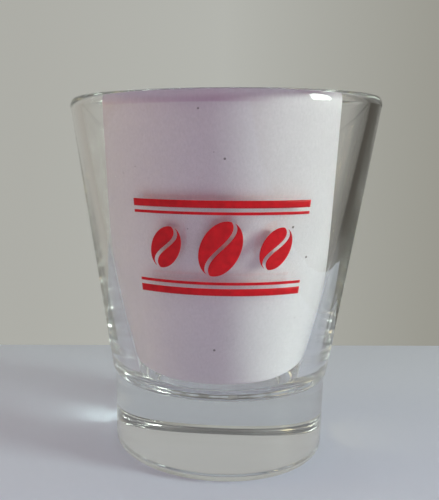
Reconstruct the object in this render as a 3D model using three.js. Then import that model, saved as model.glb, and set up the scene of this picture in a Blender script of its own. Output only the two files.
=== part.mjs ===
// Tapered coffee glass: a pressed glass body with a solid foot, a fired red print on its front,
// and a curled paper card that stands loose inside, behind the print.
// Millimetres, +Z up. The origin is the centre of the face that the glass stands on, and the print faces -Y.
import * as THREE from "three";

// Outside of the glass
const HEIGHT = 72.8;
const RIM_DIAMETER = 62; // at the mould line under the lip, where the glass is widest
const LIP_HEIGHT = 1.85; // from the mould line to the top of the rim
const LIP_REACH = 1.4; // from the mould line in to the top of the rim
const SHOULDER_DIAMETER = 45.4; // lower end of the tapered wall
const SHOULDER_HEIGHT = 17.9;
const SHOULDER_STEP = 0.6; // how far the foot is set in below the wall
const SHOULDER_ROLL = 1.3; // height of the rounded step
const FOOT_TAPER = 0.2; // how far the foot draws in towards its lower edge
const FOOT_EDGE_RADIUS = 2.2;
const BEARING_WIDTH = 2.6; // flat ring that the glass stands on
const UNDERSIDE_HOLLOW = 0.5; // height of the shallow dome inside that ring

// Inside of the glass
const LIP_INSIDE = 0.72; // from the top of the rim in to the cavity
const WALL_SPREAD = 0.27; // thickness that the wall gains evenly from the lip to the heel
const HEEL_WALL = 4.7; // glass beside the cavity's heel, where the wall is thickest
const FLOOR_THICKNESS = 16.3; // solid glass under the cavity
const HEEL_HEIGHT = 2.7; // height of the rounded heel between floor and wall
const HEEL_REACH = 5.4; // how far the rounded heel runs in over the floor

// Fired print: beans between double rules, wrapped round the tapered wall
const INK_THICKNESS = 0.1;
const INK_CLEARANCE = 0.05;
const PRINT_HEIGHT = 45.8; // height of the print's middle
const RULE_LENGTH = 31;
const BROAD_RULE = 1.3;
const FINE_RULE = 0.5;
const RULE_GAP = 0.7; // between the broad and the fine rule
const BEAN_LENGTH = 10.4;
const BEAN_WIDTH = 7;
const SIDE_BEAN_LENGTH = 8;
const SIDE_BEAN_WIDTH = 5.4;
const BEAN_GAP = 3; // between the middle bean and each side bean
const BEAN_MARGIN = 1.1; // between the middle bean and the fine rules
const BEAN_TILT = THREE.MathUtils.degToRad(24);
const GROOVE_WIDTH = 0.7;
const GROOVE_SWAY = 0.9; // how far the groove swings to each side
const BEAN_TIP = 0.15; // width left at a bean half's ends

// Paper card
const CARD_WIDTH = 44.6;
const CARD_HEIGHT = 53.2; // as it stands, along its middle line
const CARD_THICKNESS = 0.25;
const CARD_CLEARANCE = 0.3;
const CARD_TURN = THREE.MathUtils.degToRad(-1.5); // turned about the glass from dead centre

// Fineness of the faceted surfaces
const TURN_STEPS = 64;
const CURVE_STEPS = 4;
const CARD_COLUMNS = 28;
const CARD_ROWS = 8;
const RULE_COLUMNS = 22;
const BEAN_COLUMNS = 3;
const BEAN_ROWS = 12;

const FRONT = -Math.PI / 2; // azimuth of the side that carries the print

// The tapered wall runs straight up from the shoulder to the mould line, where the lip begins.
const shoulder = new THREE.Vector2(SHOULDER_DIAMETER / 2, SHOULDER_HEIGHT);
const mouldLine = new THREE.Vector2(RIM_DIAMETER / 2, HEIGHT - LIP_HEIGHT);
const taper = Math.atan2(mouldLine.x - shoulder.x, mouldLine.y - shoulder.y);

// Radius of the outer wall at a height.
function outerRadius(z) {
  return shoulder.x + (z - shoulder.y) * Math.tan(taper);
}

const heel = new THREE.Vector2(0, FLOOR_THICKNESS + HEEL_HEIGHT);
heel.x = outerRadius(heel.y) - HEEL_WALL;

// The lip is two quarter ellipses over this centre. The inner one ends where it leans as the inner wall does.
const lip = new THREE.Vector2(mouldLine.x - LIP_REACH, mouldLine.y);
const topSlope = Math.tan(taper) + WALL_SPREAD / (mouldLine.y - heel.y);
const lipEnd = Math.atan((topSlope * LIP_HEIGHT) / LIP_INSIDE);
const wallTop = new THREE.Vector2(lip.x - LIP_INSIDE * Math.cos(lipEnd), lip.y + LIP_HEIGHT * Math.sin(lipEnd));

// The inner wall leaves the lip nearly parallel to the outer wall and bends in steadily down to the heel.
const wallDrop = wallTop.y - heel.y;
const wallBend = new THREE.Vector2(wallTop.x - (wallDrop / 2) * topSlope, wallTop.y - wallDrop / 2);
const innerWall = new THREE.QuadraticBezierCurve(wallTop, wallBend, heel);

// Radius of the inner wall at a height between the heel and the rim.
function innerRadius(z) {
  return innerWall.getPoint((wallTop.y - z) / wallDrop).x;
}

// Angle between the inner wall and the upright at a height.
function innerLean(z) {
  const downhill = innerWall.getTangent((wallTop.y - z) / wallDrop);
  return Math.atan2(-downhill.x, -downhill.y);
}

// Half section of the glass: underside, foot, shoulder, outer wall, lip, inner wall, heel and floor.
function glassSection() {
  const neck = shoulder.x - SHOULDER_STEP;
  const neckHeight = shoulder.y - SHOULDER_ROLL;
  const foot = neck - FOOT_TAPER;
  const bearingOuter = foot - FOOT_EDGE_RADIUS;
  const bearingInner = bearingOuter - BEARING_WIDTH;
  const heelFoot = heel.x - (HEEL_HEIGHT * (wallBend.x - heel.x)) / (wallBend.y - heel.y);
  const section = new THREE.Path();
  section.moveTo(0, UNDERSIDE_HOLLOW);
  section.quadraticCurveTo(bearingInner / 2, UNDERSIDE_HOLLOW, bearingInner, 0);
  section.lineTo(bearingOuter, 0);
  section.absarc(bearingOuter, FOOT_EDGE_RADIUS, FOOT_EDGE_RADIUS, -Math.PI / 2, 0, false);
  section.lineTo(neck, neckHeight);
  section.bezierCurveTo(
    neck,
    neckHeight + 0.15 * SHOULDER_ROLL,
    shoulder.x - 0.7 * SHOULDER_ROLL * Math.tan(taper),
    shoulder.y - 0.7 * SHOULDER_ROLL,
    shoulder.x,
    shoulder.y,
  );
  section.lineTo(mouldLine.x, mouldLine.y);
  section.absellipse(lip.x, lip.y, LIP_REACH, LIP_HEIGHT, 0, Math.PI / 2, false, 0);
  section.absellipse(lip.x, lip.y, LIP_INSIDE, LIP_HEIGHT, Math.PI / 2, Math.PI - lipEnd, false, 0);
  section.quadraticCurveTo(wallBend.x, wallBend.y, heel.x, heel.y);
  section.quadraticCurveTo(heelFoot, FLOOR_THICKNESS, heelFoot - HEEL_REACH, FLOOR_THICKNESS);
  section.lineTo(0, FLOOR_THICKNESS);
  return section.getPoints(CURVE_STEPS);
}

function glassBody() {
  const geometry = new THREE.LatheGeometry(glassSection(), TURN_STEPS);
  geometry.rotateX(Math.PI / 2);
  return geometry;
}

// A closed slab with a grid of faces. Each of its points (u, v, w), from 0 to 1, is moved to place(u, v, w).
function slab(columns, rows, place) {
  const geometry = new THREE.BoxGeometry(1, 1, 1, columns, rows, 1).translate(0.5, 0.5, 0.5);
  const points = geometry.getAttribute("position");
  const point = new THREE.Vector3();
  for (let i = 0; i < points.count; i += 1) {
    point.copy(place(points.getX(i), points.getY(i), points.getZ(i)));
    points.setXYZ(i, point.x, point.y, point.z);
  }
  geometry.computeVertexNormals();
  return geometry;
}

function polar(radius, azimuth, z) {
  return new THREE.Vector3(radius * Math.cos(azimuth), radius * Math.sin(azimuth), z);
}

// A point of the print: across and up from its middle on the wall, and lifted off the wall by a depth.
function onWall(across, up, lift) {
  const z = PRINT_HEIGHT + up * Math.cos(taper);
  const azimuth = FRONT + across / outerRadius(PRINT_HEIGHT);
  return polar(outerRadius(z) + lift * Math.cos(taper), azimuth, z - lift * Math.sin(taper));
}

function inkLift(w) {
  return INK_CLEARANCE + w * INK_THICKNESS;
}

// A straight rule of ink, centred across the print, from low up to low + height.
function inkRule(low, height) {
  return slab(RULE_COLUMNS, 1, (u, v, w) => onWall((u - 0.5) * RULE_LENGTH, low + v * height, inkLift(w)));
}

// One half of a coffee bean: an ellipse split by a groove that swings from side to side.
function inkBeanHalf(centre, length, width, side) {
  const reach = Math.acos((GROOVE_WIDTH / 2 + BEAN_TIP) / (width / 2));
  return slab(BEAN_COLUMNS, BEAN_ROWS, (u, v, w) => {
    const turn = (2 * v - 1) * reach;
    const along = (length / 2) * Math.sin(turn);
    const groove = GROOVE_SWAY * Math.sin((Math.PI * turn) / reach) + (side * GROOVE_WIDTH) / 2;
    const edge = (side * width * Math.cos(turn)) / 2;
    const beside = side > 0 ? THREE.MathUtils.lerp(groove, edge, u) : THREE.MathUtils.lerp(edge, groove, u);
    const spot = new THREE.Vector2(beside, along).rotateAround(new THREE.Vector2(), -BEAN_TILT);
    return onWall(centre + spot.x, spot.y, inkLift(w));
  });
}

// Half the width and height that a tilted bean takes up.
function beanReach(length, width) {
  const across = Math.hypot(width * Math.cos(BEAN_TILT), length * Math.sin(BEAN_TILT)) / 2;
  const up = Math.hypot(length * Math.cos(BEAN_TILT), width * Math.sin(BEAN_TILT)) / 2;
  return new THREE.Vector2(across, up);
}

// The card lies along the inner wall, a clearance off it, with its lower edge just above the heel.
// Wrapped in a taper, its straight lower edge climbs towards both sides; its upper edge is cut level.
function paperCard() {
  return slab(CARD_COLUMNS, CARD_ROWS, (u, v, w) => {
    const across = (u - 0.5) * CARD_WIDTH;
    const low = heel.y + CARD_CLEARANCE;
    const rise = (across ** 2 * Math.sin(innerLean(low))) / (2 * innerRadius(low));
    const z = low + rise + v * (CARD_HEIGHT - rise);
    const radius = innerRadius(z) - CARD_CLEARANCE - (1 - w) * CARD_THICKNESS;
    return polar(radius, FRONT + CARD_TURN + across / radius, z);
  });
}

const clearGlass = new THREE.MeshStandardMaterial({
  color: 0xdfe7e2,
  roughness: 0.05,
  metalness: 0,
  transparent: true,
  opacity: 0.35,
});
const redInk = new THREE.MeshStandardMaterial({ color: 0xc4161c, roughness: 0.35, metalness: 0 });
const whitePaper = new THREE.MeshStandardMaterial({ color: 0xecebe8, roughness: 0.9, metalness: 0 });

function piece(name, geometry, material) {
  const mesh = new THREE.Mesh(geometry, material);
  mesh.name = name;
  return mesh;
}

const glass = new THREE.Group();
glass.add(piece("glass_body", glassBody(), clearGlass));
glass.add(piece("paper_card", paperCard(), whitePaper));

const middleReach = beanReach(BEAN_LENGTH, BEAN_WIDTH);
const sideReach = beanReach(SIDE_BEAN_LENGTH, SIDE_BEAN_WIDTH);
const beanPitch = middleReach.x + BEAN_GAP + sideReach.x;
const fineRuleEdge = middleReach.y + BEAN_MARGIN;
const broadRuleEdge = fineRuleEdge + FINE_RULE + RULE_GAP;
glass.add(piece("print_upper_fine_rule", inkRule(fineRuleEdge, FINE_RULE), redInk));
glass.add(piece("print_upper_broad_rule", inkRule(broadRuleEdge, BROAD_RULE), redInk));
glass.add(piece("print_lower_fine_rule", inkRule(-fineRuleEdge - FINE_RULE, FINE_RULE), redInk));
glass.add(piece("print_lower_broad_rule", inkRule(-broadRuleEdge - BROAD_RULE, BROAD_RULE), redInk));

const beans = [
  ["left", -beanPitch, SIDE_BEAN_LENGTH, SIDE_BEAN_WIDTH],
  ["middle", 0, BEAN_LENGTH, BEAN_WIDTH],
  ["right", beanPitch, SIDE_BEAN_LENGTH, SIDE_BEAN_WIDTH],
];
for (const [place, centre, length, width] of beans) {
  glass.add(piece(`print_${place}_bean_left_half`, inkBeanHalf(centre, length, width, -1), redInk));
  glass.add(piece(`print_${place}_bean_right_half`, inkBeanHalf(centre, length, width, 1), redInk));
}

export default glass;
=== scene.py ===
import math

import bpy
import numpy as np
from bpy.props import FloatProperty, FloatVectorProperty, IntProperty, PointerProperty
from bpy.types import Operator, Panel, PropertyGroup
from mathutils import Matrix, Vector


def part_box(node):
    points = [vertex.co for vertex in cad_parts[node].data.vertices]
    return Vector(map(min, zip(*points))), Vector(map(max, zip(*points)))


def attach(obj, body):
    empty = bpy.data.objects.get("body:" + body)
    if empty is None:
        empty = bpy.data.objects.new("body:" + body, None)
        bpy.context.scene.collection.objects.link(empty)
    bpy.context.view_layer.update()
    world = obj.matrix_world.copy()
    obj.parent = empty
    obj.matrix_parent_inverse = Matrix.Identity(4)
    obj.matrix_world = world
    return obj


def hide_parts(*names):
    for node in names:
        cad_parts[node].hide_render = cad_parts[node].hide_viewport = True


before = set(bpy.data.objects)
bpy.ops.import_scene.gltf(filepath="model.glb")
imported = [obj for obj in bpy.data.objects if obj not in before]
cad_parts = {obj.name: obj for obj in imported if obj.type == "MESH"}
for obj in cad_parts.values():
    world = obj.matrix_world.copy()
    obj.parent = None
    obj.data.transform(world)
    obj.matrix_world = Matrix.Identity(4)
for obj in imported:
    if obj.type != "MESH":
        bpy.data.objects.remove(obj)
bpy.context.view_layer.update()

bl_info = {
    "name": "Coffee Glass",
    "version": (1, 0, 0),
    "blender": (4, 5, 0),
    "location": "View3D > Sidebar > Coffee Glass",
    "description": "Builds a tapered coffee glass with a fired print, the paper card inside it, and a stage",
    "category": "Add Mesh",
}

MM = 0.001
GLASS_LOW, GLASS_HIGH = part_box("glass_body")
FRONT = -math.pi / 2  # azimuth of the side that carries the print
SIDES = {"left": -1, "right": 1}
# Tones of the wall by degrees right of straight ahead, and of the room as gloss and glass show it.
WALL_TONES = (
    (-180, (0.42, 0.42, 0.38)),
    (-16, (0.42, 0.42, 0.385)),
    (0, (0.455, 0.46, 0.425)),
    (17, (0.32, 0.315, 0.275)),
    (40, (0.42, 0.425, 0.40)),
    (180, (0.42, 0.42, 0.38)),
)
ROOM_TONES = (
    (-180, (0.38, 0.36, 0.34)),
    (-50, (0.36, 0.34, 0.3)),
    (-16, (0.42, 0.42, 0.385)),
    (0, (0.455, 0.46, 0.425)),
    (17, (0.33, 0.325, 0.29)),
    (21, (0.17, 0.168, 0.15)),
    (25, (0.11, 0.107, 0.094)),
    (32, (0.077, 0.073, 0.062)),
    (42, (0.077, 0.071, 0.06)),
    (58, (0.075, 0.069, 0.058)),
    (70, (0.36, 0.36, 0.35)),
    (180, (0.38, 0.36, 0.34)),
)
# Tones of the upper wall and the ceiling by the height of the sight line, as its sine.
UPPER_TONES = ((0.4, (0.47, 0.475, 0.455)), (0.65, (0.44, 0.44, 0.42)), (0.85, (0.12, 0.118, 0.11)))
# Heights of the sight line, as sines, over which the room, the upper wall and the light from above come in.
ROOM_TOP = (0.12, 0.03)
ROOM_FOOT = (-0.5, -0.3)
UPPER_WALL = (0.2, 0.4)
ABOVE = (0.45, 0.9)
# Where the soft light changes from the camera's side to the far side, as a share of straight ahead.
AHEAD = (-0.3, 0.3)
# Place and size of each lamp.
WINDOW = ((0.562, -0.21, 0.2), (0.17, 0.4))
SIDE_LIGHT = ((-0.58, -0.1, 0.2), (0.3, 0.3))
BOUNCES = 128  # turns that light trapped in the glass may take
# The table's left end, its depth, and where its tone changes from back to front; the paler, bluer front is
# painted light.
TABLE_LEFT = -420 * MM
TABLE_DEPTH = 800 * MM
TABLE_LIGHT_FADE = (60 * MM, -100 * MM)
# How far the painted shadow strip on the card runs from left to right: the glass lip's shade, painted into
# the paper's colour.
LIP_SHADOW_SPAN = (-18 * MM, 8 * MM)


def length(name, description, default):
    """A size in metres that a user may change."""
    return FloatProperty(
        name=name, description=description, default=default, unit="LENGTH", subtype="DISTANCE"
    )


def angle(name, description, degrees):
    """An angle that a user may change, given in degrees."""
    return FloatProperty(name=name, description=description, default=math.radians(degrees), subtype="ANGLE")


def number(name, description, default):
    """A plain number that a user may change."""
    return FloatProperty(name=name, description=description, default=default)


def colour(name, description, default):
    """A colour that a user may change, as linear red, green and blue."""
    return FloatVectorProperty(
        name=name, description=description, default=default, size=3, min=0, max=1, subtype="COLOR"
    )


class GlassSettings(PropertyGroup):
    """Sizes and tint of the glass body."""

    height: length("Height", "From the standing ring to the top of the rim", GLASS_HIGH[2])
    rim_diameter: length("Rim", "Outer diameter of the rim", GLASS_HIGH[0] - GLASS_LOW[0])
    shoulder_diameter: length("Shoulder", "Diameter at the lower end of the tapered wall", 45.4 * MM)
    shoulder_height: length("Shoulder height", "Height of the tapered wall's lower end", 17.9 * MM)
    shoulder_step: length("Step", "How far the foot is set in below the wall", 0.6 * MM)
    shoulder_roll: length("Roll", "Height of the rounded step", 1.3 * MM)
    foot_taper: length("Foot taper", "How far the foot draws in towards its lower edge", 0.2 * MM)
    foot_edge: length("Foot edge", "Radius of the foot's lower edge", 2.2 * MM)
    bearing_width: length("Standing ring", "Width of the flat ring that the glass stands on", 2.6 * MM)
    ring_round: length("Ring round", "Width of the standing ring's rounded inner side", 1.7 * MM)
    hollow: length("Hollow", "Height of the dome under the foot", 0.5 * MM)
    lip_height: length("Lip height", "From the mould line under the rim to its top", 1.85 * MM)
    lip_reach: length("Lip reach", "From the mould line in to the rim's top", 1.4 * MM)
    lip_lean: angle("Lip lean", "How far the lip leans in above the mould line", 1)
    lip_inside: length("Lip inside", "From the rim's top in to the cavity", 0.72 * MM)
    mould_line: length("Mould line", "Radius of the edge where the lip meets the wall", 0.15 * MM)
    wall_spread: length("Wall spread", "Thickness gained evenly from the rim to the heel", 0.27 * MM)
    heel_wall: length("Heel wall", "Wall thickness beside the cavity's heel", 4.7 * MM)
    floor: length("Floor", "Solid glass under the cavity", 16.3 * MM)
    heel_height: length("Heel height", "Height of the rounded heel between floor and wall", 2.7 * MM)
    heel_reach: length("Heel reach", "How far the rounded heel runs in over the floor", 5.4 * MM)
    wave: length("Wave", "Height of the faint upright waves that pressing leaves in the cavity", 0.012 * MM)
    ring_lines: length("Ring lines", "Height of the faint level lines above the heel", 0.0006 * MM)
    ring_pitch: length("Ring pitch", "From one level line to the next", 2.3 * MM)
    swirl: length("Swirl", "Height of the swirls that pressing leaves in the heel", 0.06 * MM)
    turn_steps: IntProperty(name="Steps round", description="Faces round the glass", default=360, min=24)
    tint: colour("Tint", "What the depth of the glass leaves of white light", (0.24, 0.262, 0.25))
    density: number("Density", "Strength of the tint, per metre", 5)


class PrintSettings(PropertyGroup):
    """Sizes and colour of the fired print."""

    height: length("Height", "Height of the print's middle", 45.8 * MM)
    gap: length("Gap", "From the wall to the back of the ink", 0.02 * MM)
    thickness: length("Thickness", "Thickness of the fired ink", 0.05 * MM)
    rule_length: length("Rules", "Length of the rules", 31 * MM)
    broad_rule: length("Broad rule", "Height of the broad rules", 1.3 * MM)
    fine_rule: length("Fine rule", "Height of the fine rules", 0.5 * MM)
    rule_gap: length("Rule gap", "Between a broad and a fine rule", 0.7 * MM)
    bean_length: length("Bean length", "Length of the middle bean", 10.4 * MM)
    bean_width: length("Bean width", "Width of the middle bean", 7 * MM)
    side_bean_length: length("Side bean length", "Length of the side beans", 8 * MM)
    side_bean_width: length("Side bean width", "Width of the side beans", 5.4 * MM)
    bean_gap: length("Bean gap", "Between the middle bean and each side bean", 3 * MM)
    bean_margin: length("Bean margin", "Between the middle bean and the fine rules", 1.1 * MM)
    bean_tilt: angle("Bean tilt", "Lean of the beans to the right", 24)
    groove_width: length("Groove", "Width of the groove in a bean", 0.7 * MM)
    groove_sway: length("Groove sway", "How far the groove swings to each side", 0.9 * MM)
    bean_tip: length("Bean tip", "Width left at a bean half's ends", 0.15 * MM)
    red: colour("Red", "Colour of the fired ink", (0.86, 0.011, 0.021))


class CardSettings(PropertyGroup):
    """Sizes and colour of the paper card."""

    width: length("Width", "Width of the card, laid flat", 44.6 * MM)
    height: length("Height", "Height of the card's middle line as it stands", 53.2 * MM)
    thickness: length("Thickness", "Thickness of the paper", 0.16 * MM)
    corner_width: length("Corner width", "Width of the rounding of the lower corners", 15 * MM)
    corner_height: length("Corner height", "Height of the rounding of the lower corners", 6 * MM)
    clearance: length("Clearance", "From the inner wall to the card", 0.15 * MM)
    stand: length("Stand", "From the heel up to the card's foot", 0.3 * MM)
    buckle: length("Buckle", "How far the sheet's swells stand off the wall", 0.06 * MM)
    turn: angle("Turn", "Turn of the card about the glass, from dead centre", -1.5)
    white: colour("White", "Colour of the paper", (0.86, 0.86, 0.87))
    # Painted shade: the shadow of the glass's lip on the card's top edge, painted into the paper's colour as
    # a darker mauve strip.
    painted_lip_shadow: colour("Dusk", "What the strip along the top edge leaves of the paper's colour", (0.84, 0.7, 0.79))
    strip: length("Strip", "Height of the dusky strip along the top edge", 1.8 * MM)
    strip_edge: length("Strip edge", "Height over which the strip's lower edge fades", 0.3 * MM)


class StageSettings(PropertyGroup):
    """Camera, table and light."""

    camera_distance: length("Camera distance", "From the glass's axis to the lens", 145.83 * MM)
    camera_height: length("Camera height", "From the table to the lens", 63.32 * MM)
    camera_yaw: angle("Camera yaw", "Turn of the camera to the right", -5.83)
    camera_pitch: angle("Camera pitch", "Tilt of the camera down", 8.5)
    camera_roll: angle("Camera roll", "Turn of the camera about its own axis", -0.14)
    lens: number("Lens", "Focal length in millimetres", 50.12)
    lens_shift: number("Lens shift", "Sideways shift, in picture heights", 0.139)
    table_back: length("Table back", "From the glass's axis to the table's back edge", 75 * MM)
    table_turn: angle("Table turn", "Turn of the table's back edge away on the right", 5.8)
    table_side: length("Table side", "From the glass's axis to the table's right edge", 95 * MM)
    table_far: colour("Table", "Colour of the table at its back", (0.56, 0.625, 0.715))
    # Painted light: the front colour is paler and bluer to stand in for the brighter light on the table's
    # front.
    table_front_lit: colour("Table front", "Colour of the table at its front", (0.67, 0.722, 0.9))
    front: colour("Front", "Soft light from the camera's side", (0.22, 0.07, 0.15))
    back: colour("Back", "Soft light from behind the glass", (0.22, 0.2, 0.2))
    zenith: colour("Zenith", "Soft light from above", (0.76, 0.72, 0.66))
    window_power: number("Window", "Power of the window's light in watts", 2.85)
    window_tone: colour("Window tone", "Colour of the window's light", (0.84, 0.98, 0.86))
    side_power: number("Side", "Power of the light from the left in watts", 0.56)
    side_tone: colour("Side tone", "Colour of the light from the left", (1.0, 0.87, 0.44))


def arc(centre, radii, start, end, count):
    """Points on an upright ellipse from the start angle to the end angle."""
    turn = np.linspace(start, end, count)
    return np.stack([centre[0] + radii[0] * np.cos(turn), centre[1] + radii[1] * np.sin(turn)], axis=1)


def bezier(corners, count):
    """Points on a Bezier curve: the sides of its control polygon are cut at the step, down to one point."""
    step = np.linspace(0, 1, count)[:, None, None]
    points = np.broadcast_to(np.asarray(corners, dtype=float), (count, len(corners), 2))
    while points.shape[1] > 1:
        points = (1 - step) * points[:, :-1] + step * points[:, 1:]
    return points[:, 0]


def line(start, end, count):
    """Evenly spaced points from start to end."""
    return np.linspace(start, end, count)


def heading(turn):
    """A step of length 1 at an angle up from level."""
    return np.array([math.cos(turn), math.sin(turn)])


def joined(*stretches):
    """Stretches of an outline end to end, with each shared point kept once."""
    return np.concatenate([stretches[0]] + [stretch[1:] for stretch in stretches[1:]])


class GlassForm:
    """Half section of the glass as radius and height.

    The tapered wall is the line from the shoulder that touches the small round of the mould line. Above it
    the lip leans in, rounds over as a Bezier curve and runs down inside as a quarter ellipse. The wall's
    thickness grows by spread * d + swell * d^2 with the way down d from the rim to the heel, which rounds off
    into the floor.
    """

    def __init__(self, sizes):
        self.sizes = sizes
        self.fold = np.array([sizes.rim_diameter / 2 - sizes.mould_line, sizes.height - sizes.lip_height])
        self.shoulder = np.array([sizes.shoulder_diameter / 2, sizes.shoulder_height])
        reach = self.fold - self.shoulder
        self.taper = math.atan2(*reach) + math.asin(sizes.mould_line / np.hypot(*reach))
        self.wall_top = self.fold + sizes.mould_line * heading(-self.taper)
        self.heel_height = sizes.floor + sizes.heel_height
        self.lip = np.array([sizes.rim_diameter / 2 - sizes.lip_reach, self.fold[1]])
        lean = math.tan(self.taper) + sizes.wall_spread / (self.lip[1] - self.heel_height)
        self.lip_end = math.atan(lean * sizes.lip_height / sizes.lip_inside)
        self.inside = self.lip + np.array(
            [-sizes.lip_inside * math.cos(self.lip_end), sizes.lip_height * math.sin(self.lip_end)]
        )
        self.drop = self.inside[1] - self.heel_height
        self.thin = self.outer_radius(self.inside[1]) - self.inside[0]
        self.swell = sizes.heel_wall - self.thin - sizes.wall_spread

    def outer_radius(self, z):
        """Radius of the tapered wall at a height."""
        return self.shoulder[0] + (z - self.shoulder[1]) * math.tan(self.taper)

    def inner_radius(self, z):
        """Radius of the inner wall at a height."""
        down = (self.inside[1] - z) / self.drop
        return self.outer_radius(z) - self.thin - self.sizes.wall_spread * down - self.swell * down**2

    def inner_lean(self, z):
        """Angle between the inner wall and the upright."""
        down = (self.inside[1] - z) / self.drop
        return np.arctan(math.tan(self.taper) + (self.sizes.wall_spread + 2 * self.swell * down) / self.drop)

    def section(self):
        """The outline from the underside's middle out, up over the rim and down to the floor's middle."""
        sizes = self.sizes
        neck = np.array([self.shoulder[0] - sizes.shoulder_step, self.shoulder[1] - sizes.shoulder_roll])
        foot = neck[0] - sizes.foot_taper
        bearing_outer = foot - sizes.foot_edge
        bearing_inner = bearing_outer - sizes.bearing_width
        hollow_edge = bearing_inner - sizes.ring_round
        dome_edge = (hollow_edge, 0.8 * sizes.hollow)
        ring_top = (hollow_edge + 0.5 * sizes.ring_round, 0.7 * sizes.hollow)
        ring_foot = (hollow_edge + 0.55 * sizes.ring_round, 0)
        roll_top = self.shoulder - 0.7 * sizes.shoulder_roll * np.array([math.tan(self.taper), 1])
        lip_foot = self.fold + sizes.mould_line * heading(sizes.lip_lean)
        lip_top = (self.lip[0], sizes.height)
        rise = sizes.height - lip_foot[1]
        inner = np.linspace(self.inside[1], self.heel_height, 60)
        wall = np.stack([self.inner_radius(inner), inner], axis=1)
        heel_foot = wall[-1, 0] - sizes.heel_height * math.tan(self.inner_lean(self.heel_height))
        return joined(
            bezier([(0, sizes.hollow), (hollow_edge / 2, sizes.hollow), dome_edge], 10),
            bezier([dome_edge, ring_top, ring_foot, (bearing_inner, 0)], 14),
            line((bearing_inner, 0), (bearing_outer, 0), 4),
            arc((bearing_outer, sizes.foot_edge), 2 * (sizes.foot_edge,), -math.pi / 2, 0, 16),
            line((foot, sizes.foot_edge), neck, 8),
            bezier([neck, neck + (0, 0.15 * sizes.shoulder_roll), roll_top, self.shoulder], 18),
            line(self.shoulder, self.wall_top, 24),
            arc(self.fold, 2 * (sizes.mould_line,), -self.taper, sizes.lip_lean, 7),
            bezier([lip_foot, (lip_foot[0] - rise * math.tan(sizes.lip_lean), sizes.height), lip_top], 20),
            arc(self.lip, (sizes.lip_inside, sizes.lip_height), math.pi / 2, math.pi - self.lip_end, 18),
            wall,
            bezier([wall[-1], (heel_foot, sizes.floor), (heel_foot - sizes.heel_reach, sizes.floor)], 20),
            line((heel_foot - sizes.heel_reach, sizes.floor), (0, sizes.floor), 10),
        )


def new_piece(name, points, faces, material):
    """A smooth-shaded mesh object from arrays of points and faces, with its place in its mesh."""
    mesh = bpy.data.meshes.new(name)
    mesh.from_pydata(points.reshape(-1, 3).tolist(), [], faces)
    mesh.validate()
    mesh.shade_smooth()
    mesh.materials.append(material)
    piece = bpy.data.objects.new(name, mesh)
    bpy.context.scene.collection.objects.link(piece)
    return piece


def grid_quads(rows, columns, wrapped=False):
    """Four-cornered faces between the points of a grid; wrapped joins the last column to the first."""
    across = columns if wrapped else columns - 1
    row, column = np.meshgrid(np.arange(rows - 1), np.arange(across), indexing="ij")
    beside = (column + 1) % columns
    corners = [row * columns + column, row * columns + beside]
    corners += [(row + 1) * columns + beside, (row + 1) * columns + column]
    return np.stack(corners, axis=-1).reshape(-1, 4)


def rim_of_grid(rows, columns):
    """The points round the edge of a grid, in order."""
    index = np.arange(rows * columns).reshape(rows, columns)
    return np.concatenate([index[0, :-1], index[:-1, -1], index[-1, :0:-1], index[:0:-1, 0]])


def thin_slab(outside, inside):
    """A closed thin body from the grids of points on its two faces: both faces, and a wall round their edges.

    The outside grid's rows run up and its columns to the right, seen from outside.
    """
    rows, columns = outside.shape[:2]
    count = rows * columns
    front = grid_quads(rows, columns)
    edge = rim_of_grid(rows, columns)
    after = np.roll(edge, -1)
    wall = np.stack([edge, edge + count, after + count, after], axis=-1)
    faces = np.concatenate([front, front[:, ::-1] + count, wall])
    return np.concatenate([outside.reshape(-1, 3), inside.reshape(-1, 3)]), faces.tolist()


def polar(radius, azimuth, z):
    """Points at a radius, azimuth and height, as one array."""
    parts = np.broadcast_arrays(radius * np.cos(azimuth), radius * np.sin(azimuth), z)
    return np.stack(parts, axis=-1)


def fill_ramp(node, stops):
    """Sets a colour ramp's stops, each a position and a colour or grey."""
    elements = node.color_ramp.elements
    while len(elements) < len(stops):
        elements.new(1.0)
    for element, (position, shade) in zip(elements, stops):
        element.position = position
        element.color = (shade, shade, shade, 1) if isinstance(shade, (int, float)) else (*shade, 1)


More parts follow.
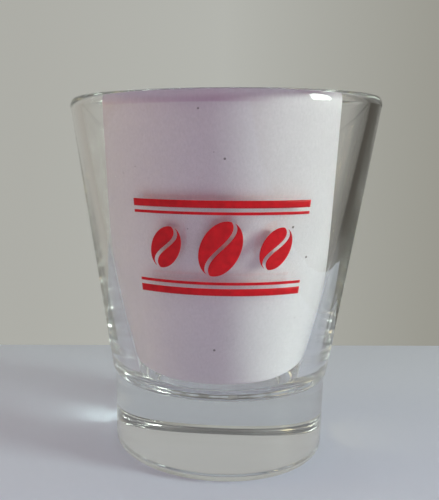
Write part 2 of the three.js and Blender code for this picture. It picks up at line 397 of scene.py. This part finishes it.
class Finish:
    """A new material with a Principled shader, and short ways to add the nodes behind it."""

    def __init__(self, name):
        self.material = bpy.data.materials.new(name)
        self.material.use_nodes = True
        self.tree = self.material.node_tree
        self.shader = next(n for n in self.tree.nodes if n.type == "BSDF_PRINCIPLED")
        self.output = next(n for n in self.tree.nodes if n.type == "OUTPUT_MATERIAL")
        self.place = self.tree.nodes.new("ShaderNodeTexCoord").outputs["Object"]

    def set(self, **values):
        """Sets the shader's own sockets, named with underscores for spaces."""
        for name, value in values.items():
            self.shader.inputs[name.replace("_", " ")].default_value = value

    def link(self, source, target):
        """Joins an output to an input of the shader, by name, or to another socket."""
        self.tree.links.new(source, self.shader.inputs[target] if isinstance(target, str) else target)

    def noise(self, scale, detail=2.0, roughness=0.5, stretch=(1, 1, 1)):
        """Noise on the piece's own coordinates, in waves per metre, stretched along the axes."""
        mapping = self.tree.nodes.new("ShaderNodeMapping")
        mapping.inputs["Scale"].default_value = stretch
        texture = self.tree.nodes.new("ShaderNodeTexNoise")
        texture.inputs["Scale"].default_value = scale
        texture.inputs["Detail"].default_value = detail
        texture.inputs["Roughness"].default_value = roughness
        self.tree.links.new(self.place, mapping.inputs["Vector"])
        self.tree.links.new(mapping.outputs["Vector"], texture.inputs["Vector"])
        return texture.outputs["Fac"]

    def along(self, axis, start, end):
        """How far a place lies on the way from start to end along an axis, from 0 to 1."""
        parts = self.tree.nodes.new("ShaderNodeSeparateXYZ")
        share = self.tree.nodes.new("ShaderNodeMapRange")
        share.inputs["From Min"].default_value = start
        share.inputs["From Max"].default_value = end
        self.tree.links.new(self.place, parts.inputs[0])
        self.tree.links.new(parts.outputs[axis], share.inputs["Value"])
        return share.outputs[0]

    def specks(self, scale):
        """Distance to scattered points, for specks and pinholes, in cells per metre."""
        texture = self.tree.nodes.new("ShaderNodeTexVoronoi")
        texture.inputs["Scale"].default_value = scale
        self.tree.links.new(self.place, texture.inputs["Vector"])
        return texture.outputs["Distance"]

    def ramp(self, source, *stops):
        """A colour ramp of (position, colour or grey) stops."""
        node = self.tree.nodes.new("ShaderNodeValToRGB")
        fill_ramp(node, stops)
        self.tree.links.new(source, node.inputs["Fac"])
        return node.outputs["Color"]

    def mixed(self, first, second, share=0.5, kind="MIX"):
        """Two colours mixed; share is a number or an output."""
        node = self.tree.nodes.new("ShaderNodeMix")
        node.data_type = "RGBA"
        node.blend_type = kind
        for source, target in ((share, node.inputs[0]), (first, node.inputs[6]), (second, node.inputs[7])):
            if isinstance(source, (int, float)):
                target.default_value = source
            elif isinstance(source, tuple):
                target.default_value = (*source, 1)
            else:
                self.tree.links.new(source, target)
        return node.outputs[2]

    def bump(self, source, strength, depth):
        """Relief of a depth in metres."""
        node = self.tree.nodes.new("ShaderNodeBump")
        node.inputs["Strength"].default_value = strength
        node.inputs["Distance"].default_value = depth
        self.tree.links.new(source, node.inputs["Height"])
        self.link(node.outputs["Normal"], "Normal")


def clear_glass(sizes):
    """Pressed soda-lime glass: clear, faintly tinted through its thickness, with a few wiped smears."""
    finish = Finish("clear_glass")
    finish.set(Base_Color=(1, 1, 1, 1), Transmission_Weight=1.0, IOR=1.52, Roughness=0.0)
    smears = finish.noise(55, detail=4, stretch=(1, 1, 0.35))
    finish.link(finish.ramp(smears, (0.58, 0.0), (0.85, 0.035)), "Roughness")
    body = finish.tree.nodes.new("ShaderNodeVolumeAbsorption")
    body.inputs["Color"].default_value = (*sizes.tint, 1)
    body.inputs["Density"].default_value = sizes.density
    finish.link(body.outputs["Volume"], finish.output.inputs["Volume"])
    return finish.material


def fired_ink(red):
    """Fired enamel ink: half matt, a little see-through, a little uneven in tone and finely grained."""
    finish = Finish("fired_ink")
    finish.set(Roughness=0.4, IOR=1.35, Transmission_Weight=0.2)
    deep = tuple(0.8 * value for value in red)
    tone = finish.ramp(finish.noise(700, detail=3), (0.3, deep), (0.7, tuple(red)))
    finish.link(tone, "Base Color")
    finish.bump(finish.noise(5000, detail=2), 0.25, 0.01 * MM)
    return finish.material


def white_paper(sizes, top):
    """Uncoated paper: fine fibres, faint clouding, a few dark specks, and a painted shadow along its top
    edge: the glass lip's shade on the card, painted into its colour as a darker mauve strip.

    The painted shadow is strongest in the middle, pales to the left and ends on the right.
    """
    finish = Finish("white_paper")
    finish.set(Roughness=0.9, IOR=1.4)
    white, painted_lip_shadow = tuple(sizes.white), tuple(sizes.painted_lip_shadow)
    dull = tuple(0.965 * value for value in white)
    cloud = finish.ramp(finish.noise(120, detail=3), (0.3, dull), (0.7, white))
    fibre = finish.ramp(finish.noise(3500, detail=4, stretch=(1, 1, 0.5)), (0.3, 0.91), (0.7, 1.0))
    sheet = finish.mixed(cloud, fibre, 1.0, "MULTIPLY")
    # Painted shadow: the lip's shade on the card's top strip, multiplied into the paper's colour and fading
    # to both sides.
    pale = tuple(0.6 + 0.4 * value for value in painted_lip_shadow)
    shade = finish.ramp(finish.along(0, *LIP_SHADOW_SPAN), (0.0, pale), (0.65, painted_lip_shadow), (1.0, 1.0))
    low = top - sizes.strip
    strip = finish.along(2, low - sizes.strip_edge / 2, low + sizes.strip_edge / 2)
    sheet = finish.mixed(sheet, shade, strip, "MULTIPLY")
    speck = finish.ramp(finish.specks(240), (0.045, 0.8), (0.06, 0.0))
    finish.link(finish.mixed(sheet, (0.12, 0.11, 0.1), speck), "Base Color")
    finish.bump(finish.noise(2600, detail=5, roughness=0.6), 0.3, 0.03 * MM)
    return finish.material


def table_top(far, near):
    """A smooth, pale, matt table top, with painted light: paler and bluer towards the front, where more light
    falls.
    """
    finish = Finish("table_top")
    finish.set(Roughness=0.55, IOR=1.45)
    # Painted light: the tone runs from the back colour to a paler, bluer front.
    tone = finish.ramp(finish.along(1, *TABLE_LIGHT_FADE), (0.0, tuple(far)), (1.0, tuple(near)))
    cloud = finish.ramp(finish.noise(9, detail=2), (0.3, 0.97), (0.7, 1.0))
    finish.link(finish.mixed(tone, cloud, 1.0, "MULTIPLY"), "Base Color")
    return finish.material


class COFFEEGLASS_OT_glass_body(Operator):
    """Makes the pressed glass body as a fine surface of revolution"""

    bl_idname = "coffeeglass.glass_body"
    bl_label = "Glass Body"

    def execute(self, context):
        sizes = context.scene.coffee_glass
        form = GlassForm(sizes)
        section = form.section()
        rings, steps = section[1:-1], sizes.turn_steps
        azimuth = np.arange(steps) * 2 * math.pi / steps
        radius = rings[:, :1] + self.waves(form, rings, azimuth)
        height = rings[:, 1:] + self.swirls(form, rings, azimuth)
        body = polar(radius, azimuth, height).reshape(-1, 3)
        poles = np.array([(0, 0, section[0, 1]), (0, 0, section[-1, 1])])
        quads = grid_quads(len(rings), steps, wrapped=True)
        ring = np.arange(steps)
        after = (ring + 1) % steps
        last = (len(rings) - 1) * steps
        under = np.stack([np.full(steps, len(body)), after, ring], axis=-1)
        floor = np.stack([np.full(steps, len(body) + 1), ring + last, after + last], axis=-1)
        faces = quads.tolist() + under.tolist() + floor.tolist()
        piece = new_piece("pressed_glass", np.concatenate([body, poles]), faces, clear_glass(sizes))
        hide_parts("glass_body")
        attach(piece, "glass")
        return {"FINISHED"}

    @staticmethod
    def waves(form, rings, azimuth):
        """Faint upright waves in the inner wall, and level lines above the heel.

        The waves are a sum of cosines round the glass and fade out at rim and heel. The lines are a cosine up
        the wall and fade out a third of the way up.
        """
        draw = np.random.default_rng(11)
        counts = np.array([7, 11, 16, 23, 31, 42, 55])
        phases = draw.uniform(0, 2 * math.pi, len(counts))
        twists = draw.uniform(-60, 60, len(counts))
        counts, phases, twists = (values[:, None, None] for values in (counts, phases, twists))
        swell = form.sizes.wave * np.cos(counts * azimuth + phases + twists * rings[:, 1:]).mean(axis=0)
        way_up = (rings[:, 1] - form.heel_height) / form.drop
        inside = rings[:, 0] < form.inner_radius(rings[:, 1]) + 0.1 * MM
        fade = np.where(inside, np.clip(6 * way_up, 0, 1) * np.clip(6 * (1 - way_up), 0, 1), 0)
        lines = form.sizes.ring_lines * np.cos(2 * math.pi * rings[:, 1] / form.sizes.ring_pitch)
        lines *= np.clip(1 - 3 * way_up, 0, 1)
        return fade[:, None] * (swell + lines[:, None])

    @staticmethod
    def swirls(form, rings, azimuth):
        """Shallow swirls in the heel: cosines that run slantwise down it, faded at both ends."""
        draw = np.random.default_rng(4)
        counts = np.array([13, 19, 26, 34])
        phases = draw.uniform(0, 2 * math.pi, len(counts))
        start = form.inner_radius(form.heel_height)
        way_in = (start - rings[:, :1]) / (1.5 * form.sizes.heel_reach)
        slants = draw.uniform(12, 26, len(counts)) * draw.choice([-1, 1], len(counts))
        counts, phases, slants = (values[:, None, None] for values in (counts, phases, slants))
        swell = np.cos(counts * azimuth + phases + slants * way_in).mean(axis=0)
        heel = (rings[:, 1:] > form.sizes.floor - form.sizes.swirl) & (way_in > 0) & (way_in < 1)
        fade = np.where(heel, np.sin(math.pi * np.clip(way_in, 0, 1)), 0)
        return form.sizes.swirl * fade * swell


class COFFEEGLASS_OT_fired_print(Operator):
    """Lays the red print on the tapered wall, each island of ink its own thin film"""

    bl_idname = "coffeeglass.fired_print"
    bl_label = "Fired Print"

    def execute(self, context):
        sizes = context.scene.coffee_print
        self.sizes = sizes
        self.form = GlassForm(context.scene.coffee_glass)
        self.ink = fired_ink(sizes.red)
        middle = self.bean_reach(sizes.bean_length, sizes.bean_width)
        side = self.bean_reach(sizes.side_bean_length, sizes.side_bean_width)
        pitch = middle[0] + sizes.bean_gap + side[0]
        fine_edge = middle[1] + sizes.bean_margin
        broad_edge = fine_edge + sizes.fine_rule + sizes.rule_gap
        self.rule("upper_fine_rule", fine_edge, sizes.fine_rule)
        self.rule("upper_broad_rule", broad_edge, sizes.broad_rule)
        self.rule("lower_fine_rule", -fine_edge - sizes.fine_rule, sizes.fine_rule)
        self.rule("lower_broad_rule", -broad_edge - sizes.broad_rule, sizes.broad_rule)
        beans = {
            "left": (-pitch, sizes.side_bean_length, sizes.side_bean_width),
            "middle": (0.0, sizes.bean_length, sizes.bean_width),
            "right": (pitch, sizes.side_bean_length, sizes.side_bean_width),
        }
        for place, bean in beans.items():
            for half, side in SIDES.items():
                self.bean_half(f"{place}_bean_{half}_half", *bean, side)
        return {"FINISHED"}

    def bean_reach(self, long, wide):
        """Half the width and height that a tilted bean takes up."""
        lean, upright = math.sin(self.sizes.bean_tilt), math.cos(self.sizes.bean_tilt)
        return math.hypot(wide * upright, long * lean) / 2, math.hypot(long * upright, wide * lean) / 2

    def film(self, name, across, up):
        """Wraps a grid of places on the print round the tapered wall and gives it the ink's thickness."""
        form, sizes = self.form, self.sizes
        z = sizes.height + up * math.cos(form.taper)
        azimuth = FRONT + across / form.outer_radius(sizes.height)
        faces = []
        for lift in (sizes.gap + sizes.thickness, sizes.gap):
            radius = form.outer_radius(z) + lift * math.cos(form.taper)
            faces.append(polar(radius, azimuth, z - lift * math.sin(form.taper)))
        piece = new_piece(f"ink_{name}", *thin_slab(*faces), self.ink)
        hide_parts(f"print_{name}")
        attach(piece, "glass")

    def rule(self, name, low, height):
        """A straight rule of ink, centred across the print."""
        across = np.linspace(-0.5, 0.5, 90) * self.sizes.rule_length
        up = low + np.linspace(0, 1, 5) * height
        self.film(name, *np.meshgrid(across, up))

    def bean_half(self, name, centre, long, wide, side):
        """Half a bean: from an ellipse to a groove that swings as a sine, tilted as a whole."""
        sizes = self.sizes
        reach = math.acos((sizes.groove_width / 2 + sizes.bean_tip) / (wide / 2))
        share = np.linspace(0, 1, 13)
        turn = np.linspace(-reach, reach, 60)[:, None]
        along = long / 2 * np.sin(turn) + 0 * share
        groove = sizes.groove_sway * np.sin(math.pi * turn / reach) + side * sizes.groove_width / 2
        edge = side * wide / 2 * np.cos(turn)
        left, right = (groove, edge) if side > 0 else (edge, groove)
        beside = left + (right - left) * share
        lean, upright = math.sin(sizes.bean_tilt), math.cos(sizes.bean_tilt)
        self.film(name, centre + beside * upright + along * lean, along * upright - beside * lean)


class COFFEEGLASS_OT_paper_card(Operator):
    """Stands the curled paper card inside the glass, along the wall behind the print.

    The sheet follows the inner wall. Its foot rises with the square of the way across, as a straight cut does
    on a cone, and its lower corners are quarter ellipses.
    """

    bl_idname = "coffeeglass.paper_card"
    bl_label = "Paper Card"

    def execute(self, context):
        sizes = context.scene.coffee_card
        form = GlassForm(context.scene.coffee_glass)
        across = np.sin(np.linspace(-0.5, 0.5, 140) * math.pi) * sizes.width / 2
        low = form.heel_height + sizes.stand
        rise = across**2 * np.sin(form.inner_lean(low)) / (2 * form.inner_radius(low))
        past = np.clip(1 - (sizes.width / 2 - np.abs(across)) / sizes.corner_width, 0, 1)
        rise += sizes.corner_height * (1 - np.sqrt(1 - past**2))
        z = low + rise + np.linspace(0, 1, 110)[:, None] * (sizes.height - rise)
        swell = self.swells(across / sizes.width, (z - form.heel_height) / form.drop)
        clearance = sizes.clearance + sizes.buckle * swell
        faces = []
        for depth in (0, sizes.thickness):
            radius = form.inner_radius(z) - clearance - depth
            faces.append(polar(radius, FRONT + sizes.turn + across / radius, z))
        paper = white_paper(sizes, low + sizes.height)
        piece = new_piece("paper_sheet", *thin_slab(*faces), paper)
        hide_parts("paper_card")
        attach(piece, "card")
        return {"FINISHED"}

    @staticmethod
    def swells(across, up):
        """Two broad sines added to 1, for paper that won't quite follow a taper."""
        return 1 + 0.6 * np.sin(5.2 * across + 2.3 * up) + 0.4 * np.sin(9.1 * across - 5.7 * up + 1.1)


class COFFEEGLASS_OT_stage(Operator):
    """Sets up the camera, the table top and the soft light"""

    bl_idname = "coffeeglass.stage"
    bl_label = "Stage"

    def execute(self, context):
        settings = context.scene.coffee_stage
        self.camera(context.scene, settings)
        self.table(settings)
        self.world(context.scene, settings)
        self.lamp("window", *WINDOW, settings.window_power, settings.window_tone)
        side = self.lamp("side", *SIDE_LIGHT, settings.side_power, settings.side_tone)
        side.visible_glossy = False
        context.scene.view_settings.view_transform = "Standard"
        paths = context.scene.cycles
        paths.max_bounces = paths.glossy_bounces = paths.transmission_bounces = BOUNCES
        paths.blur_glossy = paths.sample_clamp_indirect = 0
        return {"FINISHED"}

    @staticmethod
    def camera(scene, settings):
        """A camera in front of the print: yaw and pitch set where it looks, and roll turns it about that."""
        yaw, pitch, roll = settings.camera_yaw, settings.camera_pitch, settings.camera_roll
        level_step = math.cos(pitch)
        ahead = Vector((math.sin(yaw) * level_step, math.cos(yaw) * level_step, -math.sin(pitch)))
        level = Vector((math.cos(yaw), -math.sin(yaw), 0))
        below = ahead.cross(level)
        right = math.cos(roll) * level + math.sin(roll) * below
        down = math.cos(roll) * below - math.sin(roll) * level
        lens = bpy.data.cameras.new("camera")
        lens.lens = settings.lens
        lens.sensor_width = 36
        lens.shift_x = settings.lens_shift
        lens.clip_start = 0.005
        eye = bpy.data.objects.new("camera", lens)
        turn = Matrix((right, -down, -ahead)).transposed().to_4x4()
        eye.matrix_world = Matrix.Translation((0, -settings.camera_distance, settings.camera_height)) @ turn
        scene.collection.objects.link(eye)
        scene.camera = eye

    @staticmethod
    def table(settings):
        """A table top with a rounded back and right edge: at each place, the lower of the two profiles."""

        def edge(far, near, skin=0.05 * MM, radius=3 * MM, drop=30 * MM):
            """Places from the near end out to the edge, and heights that round over it and drop down."""
            return joined(
                line((near, -skin), (far - radius, -skin), 40),
                arc((far - radius, -skin - radius), (radius, radius), math.pi / 2, 0, 9),
                line((far, -skin - radius), (far, -drop), 4),
            )

        across, back = edge(settings.table_side, TABLE_LEFT), edge(0.0, -TABLE_DEPTH)[:, None]
        ahead = back[..., 0] + settings.table_back + across[:, 0] * math.tan(settings.table_turn)
        height = np.minimum(across[:, 1], back[..., 1])
        points = np.stack(np.broadcast_arrays(across[:, 0], ahead, height), axis=-1)
        faces = grid_quads(*points.shape[:2]).tolist()
        new_piece("table", points, faces, table_top(settings.table_far, settings.table_front_lit))

    @staticmethod
    def world(scene, settings):
        """Soft light, mostly from above; sight, gloss and glass get the room's tones by direction instead."""
        world = bpy.data.worlds.new("room")
        world.use_nodes = True
        tree = world.node_tree
        tree.nodes.clear()

        def node(kind, **inputs):
            """A node with its inputs set or joined by number."""
            made = tree.nodes.new(kind)
            for key, source in inputs.items():
                target = made.inputs[int(key[1:])]
                if isinstance(source, bpy.types.NodeSocket):
                    tree.links.new(source, target)
                else:
                    target.default_value = source
            return made

        def maths(operation, first, second):
            """The outcome of an operation on two values, each a number or an output."""
            made = node("ShaderNodeMath", i0=first, i1=second)
            made.operation = operation
            return made.outputs[0]

        def ramp(source, stops):
            """A colour ramp of (position, colour) stops."""
            made = node("ShaderNodeValToRGB", i0=source)
            fill_ramp(made, stops)
            return made.outputs[0]

        def compass(stops):
            """A ramp round the compass, of (degrees right of the camera's own direction, colour) stops."""
            return ramp(bearing, [(0.5 + degrees / 360, shade) for degrees, shade in stops])

        def blend(share, first, second):
            """Two colours mixed by a share; each is an output or a setting."""
            made = node("ShaderNodeMix", i0=share)
            made.data_type = "RGBA"
            for target, source in zip(made.inputs[6:8], (first, second)):
                if isinstance(source, bpy.types.NodeSocket):
                    tree.links.new(source, target)
                else:
                    target.default_value = (*source, 1)
            return made.outputs[2]

        def fade(source, span):
            """How far a value lies on the way over a span, from 0 to 1."""
            return node("ShaderNodeMapRange", i0=source, i1=span[0], i2=span[1]).outputs[0]

        def light(tone):
            """Light of a colour from all around."""
            return node("ShaderNodeBackground", i0=tone).outputs[0]

        def either(share, first, second):
            """Two lights mixed by a share."""
            return node("ShaderNodeMixShader", i0=share, i1=first, i2=second).outputs[0]

        path = node("ShaderNodeLightPath").outputs
        sight = node("ShaderNodeTexCoord").outputs["Generated"]
        way = node("ShaderNodeSeparateXYZ", i0=sight).outputs
        bearing = maths("ADD", maths("DIVIDE", maths("ARCTAN2", way[0], way[1]), 2 * math.pi), 0.5)
        wall = compass(WALL_TONES)
        level = maths("MULTIPLY", fade(way[2], ROOM_TOP), fade(way[2], ROOM_FOOT))
        room = blend(level, wall, compass(ROOM_TONES))
        furnished = blend(fade(way[2], UPPER_WALL), room, ramp(way[2], UPPER_TONES))
        unlit = maths("LESS_THAN", path["Diffuse Depth"], 0.5)
        bent = maths("MAXIMUM", path["Is Glossy Ray"], path["Is Transmission Ray"])
        around = blend(fade(way[1], AHEAD), settings.front, settings.back)
        soft = blend(fade(way[2], ABOVE), around, settings.zenith)
        straight = either(path["Is Camera Ray"], light(soft), light(wall))
        all_rays = either(maths("MULTIPLY", bent, unlit), straight, light(furnished))
        node("ShaderNodeOutputWorld", i0=all_rays)
        scene.world = world

    @staticmethod
    def lamp(name, place, size, power, tone):
        """An oval soft light that faces the middle of the glass."""
        light = bpy.data.lights.new(name, "AREA")
        light.shape = "ELLIPSE"
        light.size, light.size_y = size
        light.energy = power
        light.color = tone
        lamp = bpy.data.objects.new(name, light)
        aim = Vector((0, 0, GLASS_HIGH[2] / 2)) - Vector(place)
        lamp.matrix_world = Matrix.Translation(place) @ aim.to_track_quat("-Z", "Y").to_matrix().to_4x4()
        lamp.visible_camera = False
        bpy.context.scene.collection.objects.link(lamp)
        return lamp


class COFFEEGLASS_PT_build(Panel):
    """Lists the glass's sizes, colours and build steps"""

    bl_label = "Coffee Glass"
    bl_space_type = "VIEW_3D"
    bl_region_type = "UI"
    bl_category = "Coffee Glass"

    def draw(self, context):
        for operator, group in STEPS:
            box = self.layout.box()
            box.operator(operator.bl_idname)
            settings = getattr(context.scene, group)
            for name in settings.bl_rna.properties.keys():
                if name not in ("rna_type", "name"):
                    box.prop(settings, name)


STEPS = (
    (COFFEEGLASS_OT_glass_body, "coffee_glass"),
    (COFFEEGLASS_OT_fired_print, "coffee_print"),
    (COFFEEGLASS_OT_paper_card, "coffee_card"),
    (COFFEEGLASS_OT_stage, "coffee_stage"),
)
GROUPS = {
    "coffee_glass": GlassSettings,
    "coffee_print": PrintSettings,
    "coffee_card": CardSettings,
    "coffee_stage": StageSettings,
}


def register():
    for name, group in GROUPS.items():
        bpy.utils.register_class(group)
        setattr(bpy.types.Scene, name, PointerProperty(type=group))
    for operator, _ in STEPS:
        bpy.utils.register_class(operator)
    bpy.utils.register_class(COFFEEGLASS_PT_build)


def unregister():
    bpy.utils.unregister_class(COFFEEGLASS_PT_build)
    for operator, _ in reversed(STEPS):
        bpy.utils.unregister_class(operator)
    for name, group in reversed(GROUPS.items()):
        delattr(bpy.types.Scene, name)
        bpy.utils.unregister_class(group)


def main():
    register()
    bpy.ops.coffeeglass.glass_body()
    bpy.ops.coffeeglass.fired_print()
    bpy.ops.coffeeglass.paper_card()
    bpy.ops.coffeeglass.stage()


if __name__ == "__main__":
    main()
